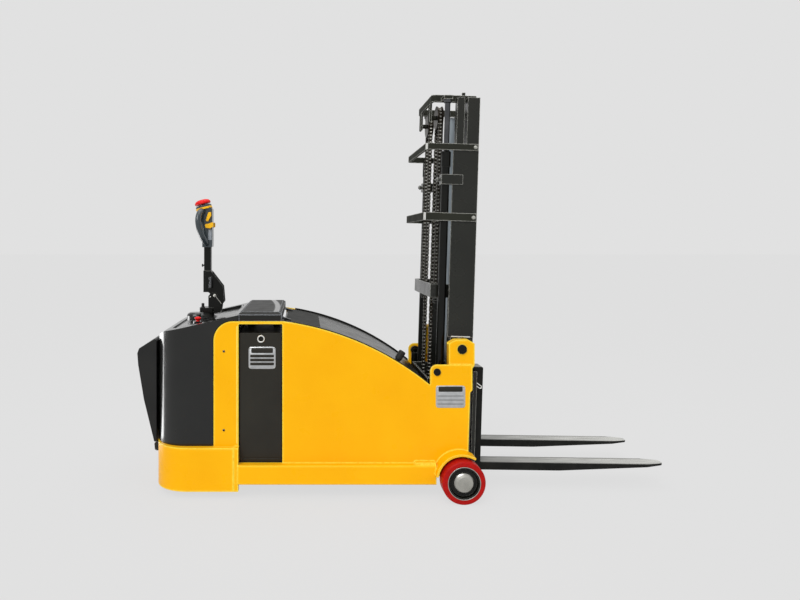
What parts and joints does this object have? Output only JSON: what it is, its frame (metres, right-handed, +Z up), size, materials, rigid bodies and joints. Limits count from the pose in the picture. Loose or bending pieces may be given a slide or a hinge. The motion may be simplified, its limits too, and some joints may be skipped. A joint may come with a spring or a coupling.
{
  "type": "electric stacker",
  "caption": "Walk-behind counterbalanced stacker: curved yellow body with battery, steered tiller, folding platform and a tilting telescopic mast that lifts forks by leaf chains.",
  "frame": {"origin": "on the floor under the middle of the overall length and width", "axes": "+X forward to the fork tips, +Y to the truck's left, +Z up"},
  "size_m": [2.7122, 0.994, 2.0416],
  "materials": {
    "yellow_paint": "gloss yellow enamel",
    "black_paint": "satin black enamel",
    "case_plastic": "matt black",
    "black_moulding": "gloss black moulding",
    "dash_plastic": "grained black",
    "grip_plastic": "dark grey grip",
    "red_plastic": "gloss red",
    "yellow_plastic": "gloss yellow",
    "tread": "cast red polyurethane",
    "black_tyre": "black polyurethane",
    "cast": "painted casting",
    "fork_steel": "forged, black with worn top",
    "bright_steel": "turned cap",
    "chain_steel": "oiled steel",
    "chrome": "ground chrome"
  },
  "bodies": {
    "chassis": {"chassis_frame": "black_paint", "side_frame_left": "yellow_paint", "side_frame_right": "yellow_paint", "tilt_pins": "black_paint", "rear_skirt": "yellow_paint", "drive_hood": "black_moulding", "control_panel": "dash_plastic", "battery_pack": "case_plastic", "front_cover": "black_moulding", "breather_cap": "dash_plastic", "power_pack": "black_paint"},
    "lid": {"battery_lid": "black_moulding"},
    "stop": {"emergency_stop": "red_plastic"},
    "steer": {"drive_unit": "cast", "tiller_base": "black_paint"},
    "drive": {"drive_wheel": "black_tyre"},
    "key": {"key_switch": "dash_plastic"},
    "tiller": {"tiller_arm": "black_paint", "tiller_head": "grip_plastic", "tiller_grips": "grip_plastic"},
    "belly": {"belly_button": "red_plastic"},
    "throttle": {"thumb_wheel": "yellow_plastic"},
    "rocker": {"lift_rocker": "yellow_plastic"},
    "platform": {"platform_deck": "black_paint"},
    "mast": {"mast_rail_left": "black_paint", "mast_rail_right": "black_paint", "mast_ties": "black_paint", "mast_back": "black_paint", "mast_guard": "black_paint", "lift_barrel_left": "black_paint", "lift_barrel_right": "black_paint", "chain_anchored": "chain_steel"},
    "inner": {"inner_rail_left": "black_paint", "inner_rail_right": "black_paint", "inner_foot": "black_paint", "crosshead": "black_paint", "lift_rod_left": "chrome", "lift_rod_right": "chrome", "chain_lifting": "chain_steel"},
    "carriage": {"carriage": "black_paint"},
    "roller_lower": {"carriage_roller_lower": "chain_steel"},
    "roller_upper": {"carriage_roller_upper": "chain_steel"},
    "front_wheel_left": {"front_tyre_left": "tread", "front_hub_left": "black_paint", "hub_cap_left": "bright_steel"},
    "castor_left": {"castor_fork_left": "black_paint"},
    "castor_roll_left": {"castor_wheel_left": "black_tyre"},
    "front_wheel_right": {"front_tyre_right": "tread", "front_hub_right": "black_paint", "hub_cap_right": "bright_steel"},
    "castor_right": {"castor_fork_right": "black_paint"},
    "castor_roll_right": {"castor_wheel_right": "black_tyre"},
    "sheave_left": {"sheave_left": "chain_steel"},
    "fork_left": {"fork_left": "fork_steel"},
    "sheave_right": {"sheave_right": "chain_steel"},
    "fork_right": {"fork_right": "fork_steel"},
    "tilt_barrel_left": {"tilt_barrel_left": "black_paint"},
    "tilt_rod_left": {"tilt_rod_left": "chrome"},
    "tilt_barrel_right": {"tilt_barrel_right": "black_paint"},
    "tilt_rod_right": {"tilt_rod_right": "chrome"}
  },
  "joints": [
    {"name": "lid_hinge", "type": "hinge", "parent": "chassis", "child": "lid", "pos_m": [-0.6062, 0, 0.874], "axis": [0, 1, 0], "range_deg": [0, 85]},
    {"name": "stop_press", "type": "slide", "parent": "chassis", "child": "stop", "axis": [0, 0, -1], "range_m": [0, 0.005], "stiffness_N_per_m": 2000, "springref_m": -0.002},
    {"name": "steer_swivel", "type": "hinge", "parent": "chassis", "child": "steer", "pos_m": [-1.0292, 0, 0.241], "axis": [0, 0, 1], "range_deg": [-90, 90]},
    {"name": "drive_spin", "type": "hinge", "parent": "steer", "child": "drive", "pos_m": [-1.0292, 0, 0.113], "axis": [0, 1, 0], "continuous": true},
    {"name": "key_turn", "type": "hinge", "parent": "steer", "child": "key", "pos_m": [-1.0512, -0.034, 0.907], "axis": [0, 0, 1], "range_deg": [0, 70]},
    {"name": "tiller_tilt", "type": "hinge", "parent": "steer", "child": "tiller", "pos_m": [-0.9862, 0, 0.973], "axis": [0, -1, 0], "range_deg": [0, 70], "stiffness_Nm_per_rad": 10, "springref_deg": -34.38},
    {"name": "belly_press", "type": "slide", "parent": "tiller", "child": "belly", "axis": [0.2588, 0, -0.9659], "range_m": [0, 0.005], "stiffness_N_per_m": 900, "springref_m": -0.006},
    {"name": "throttle_turn", "type": "hinge", "parent": "tiller", "child": "throttle", "pos_m": [-1.0132, 0, 1.35], "axis": [0, 1, 0], "range_deg": [-18, 18], "stiffness_Nm_per_rad": 0.4},
    {"name": "rocker_turn", "type": "hinge", "parent": "tiller", "child": "rocker", "pos_m": [-1.0192, 0, 1.404], "axis": [0, 1, 0], "range_deg": [-10, 10], "stiffness_Nm_per_rad": 0.4},
    {"name": "platform_fold", "type": "hinge", "parent": "chassis", "child": "platform", "pos_m": [-1.26419, 0, 0.205], "axis": [0, -1, 0], "range_deg": [0, 90]},
    {"name": "wheel_spin_left", "type": "hinge", "parent": "chassis", "child": "front_wheel_left", "pos_m": [0.27081, 0.4495, 0.105], "axis": [0, 1, 0], "continuous": true},
    {"name": "castor_swivel_left", "type": "hinge", "parent": "chassis", "child": "castor_left", "pos_m": [-1.1442, 0.22, 0.229], "axis": [0, 0, 1], "continuous": true},
    {"name": "castor_spin_left", "type": "hinge", "parent": "castor_left", "child": "castor_roll_left", "pos_m": [-1.1742, 0.22, 0.05], "axis": [0, 1, 0], "continuous": true},
    {"name": "wheel_spin_right", "type": "hinge", "parent": "chassis", "child": "front_wheel_right", "pos_m": [0.27081, -0.4495, 0.105], "axis": [0, 1, 0], "continuous": true},
    {"name": "castor_swivel_right", "type": "hinge", "parent": "chassis", "child": "castor_right", "pos_m": [-1.1442, -0.22, 0.229], "axis": [0, 0, 1], "continuous": true},
    {"name": "castor_spin_right", "type": "hinge", "parent": "castor_right", "child": "castor_roll_right", "pos_m": [-1.1742, -0.22, 0.05], "axis": [0, 1, 0], "continuous": true},
    {"name": "mast_tilt", "type": "hinge", "parent": "chassis", "child": "mast", "pos_m": [0.2893, 0, 0.73], "axis": [0, 1, 0], "range_deg": [-6, 1.5]},
    {"name": "mast_lift", "type": "slide", "parent": "mast", "child": "inner", "axis": [0.0314, 0, 0.9995], "range_m": [-0.015, 1.38], "deforming": ["chain_anchored"]},
    {"name": "carriage_lift", "type": "slide", "parent": "inner", "child": "carriage", "axis": [0.0314, 0, 0.9995], "range_m": [-0.015, 1.38], "deforming": ["chain_lifting"]},
    {"name": "roller_spin_lower", "type": "hinge", "parent": "carriage", "child": "roller_lower", "pos_m": [0.3094, 0, 0.23913], "axis": [0, 1, 0], "range_deg": [-50, 3687.6]},
    {"name": "roller_spin_upper", "type": "hinge", "parent": "carriage", "child": "roller_upper", "pos_m": [0.31891, 0, 0.54198], "axis": [0, 1, 0], "range_deg": [-50, 3687.6]},
    {"name": "sheave_spin_left", "type": "hinge", "parent": "inner", "child": "sheave_left", "pos_m": [0.21518, 0.139, 1.92092], "axis": [0.9995, 0, -0.0314], "range_deg": [-1530.5, 26.5]},
    {"name": "fork_shift_left", "type": "slide", "parent": "carriage", "child": "fork_left", "axis": [0, 1, 0], "range_m": [-0.06, 0.03]},
    {"name": "sheave_spin_right", "type": "hinge", "parent": "inner", "child": "sheave_right", "pos_m": [0.21518, -0.139, 1.92092], "axis": [0.9995, 0, -0.0314], "range_deg": [-26.5, 1530.5]},
    {"name": "fork_shift_right", "type": "slide", "parent": "carriage", "child": "fork_right", "axis": [0, -1, 0], "range_m": [-0.06, 0.03]},
    {"name": "tilt_swing_left", "type": "hinge", "parent": "chassis", "child": "tilt_barrel_left", "pos_m": [0.1631, 0.33, 0.618], "axis": [0, 1, 0], "range_deg": [-9.02, 3]},
    {"name": "tilt_stroke_left", "type": "slide", "parent": "tilt_barrel_left", "child": "tilt_rod_left", "axis": [-0.0183, 0, -0.9998], "range_m": [-0.00541, 0.01562]},
    {"name": "tilt_swing_right", "type": "hinge", "parent": "chassis", "child": "tilt_barrel_right", "pos_m": [0.1631, -0.33, 0.618], "axis": [0, 1, 0], "range_deg": [-9.02, 3]},
    {"name": "tilt_stroke_right", "type": "slide", "parent": "tilt_barrel_right", "child": "tilt_rod_right", "axis": [-0.0183, 0, -0.9998], "range_m": [-0.00541, 0.01562]}
  ],
  "couplings": [
    {"joint": "carriage_lift", "follows": "mast_lift", "ratio": 1},
    {"joint": "roller_spin_lower", "follows": "mast_lift", "rad_per_m": 46.512},
    {"joint": "roller_spin_upper", "follows": "mast_lift", "rad_per_m": 46.512},
    {"joint": "sheave_spin_left", "follows": "mast_lift", "rad_per_m": -19.231},
    {"joint": "sheave_spin_right", "follows": "mast_lift", "rad_per_m": 19.231},
    {"joint": "tilt_swing_left", "follows": "mast_tilt", "ratio": 1.3366},
    {"joint": "tilt_stroke_left", "follows": "mast_tilt", "m_per_rad": -0.13009},
    {"joint": "tilt_swing_right", "follows": "mast_tilt", "ratio": 1.3366},
    {"joint": "tilt_stroke_right", "follows": "mast_tilt", "m_per_rad": -0.13009}
  ]
}
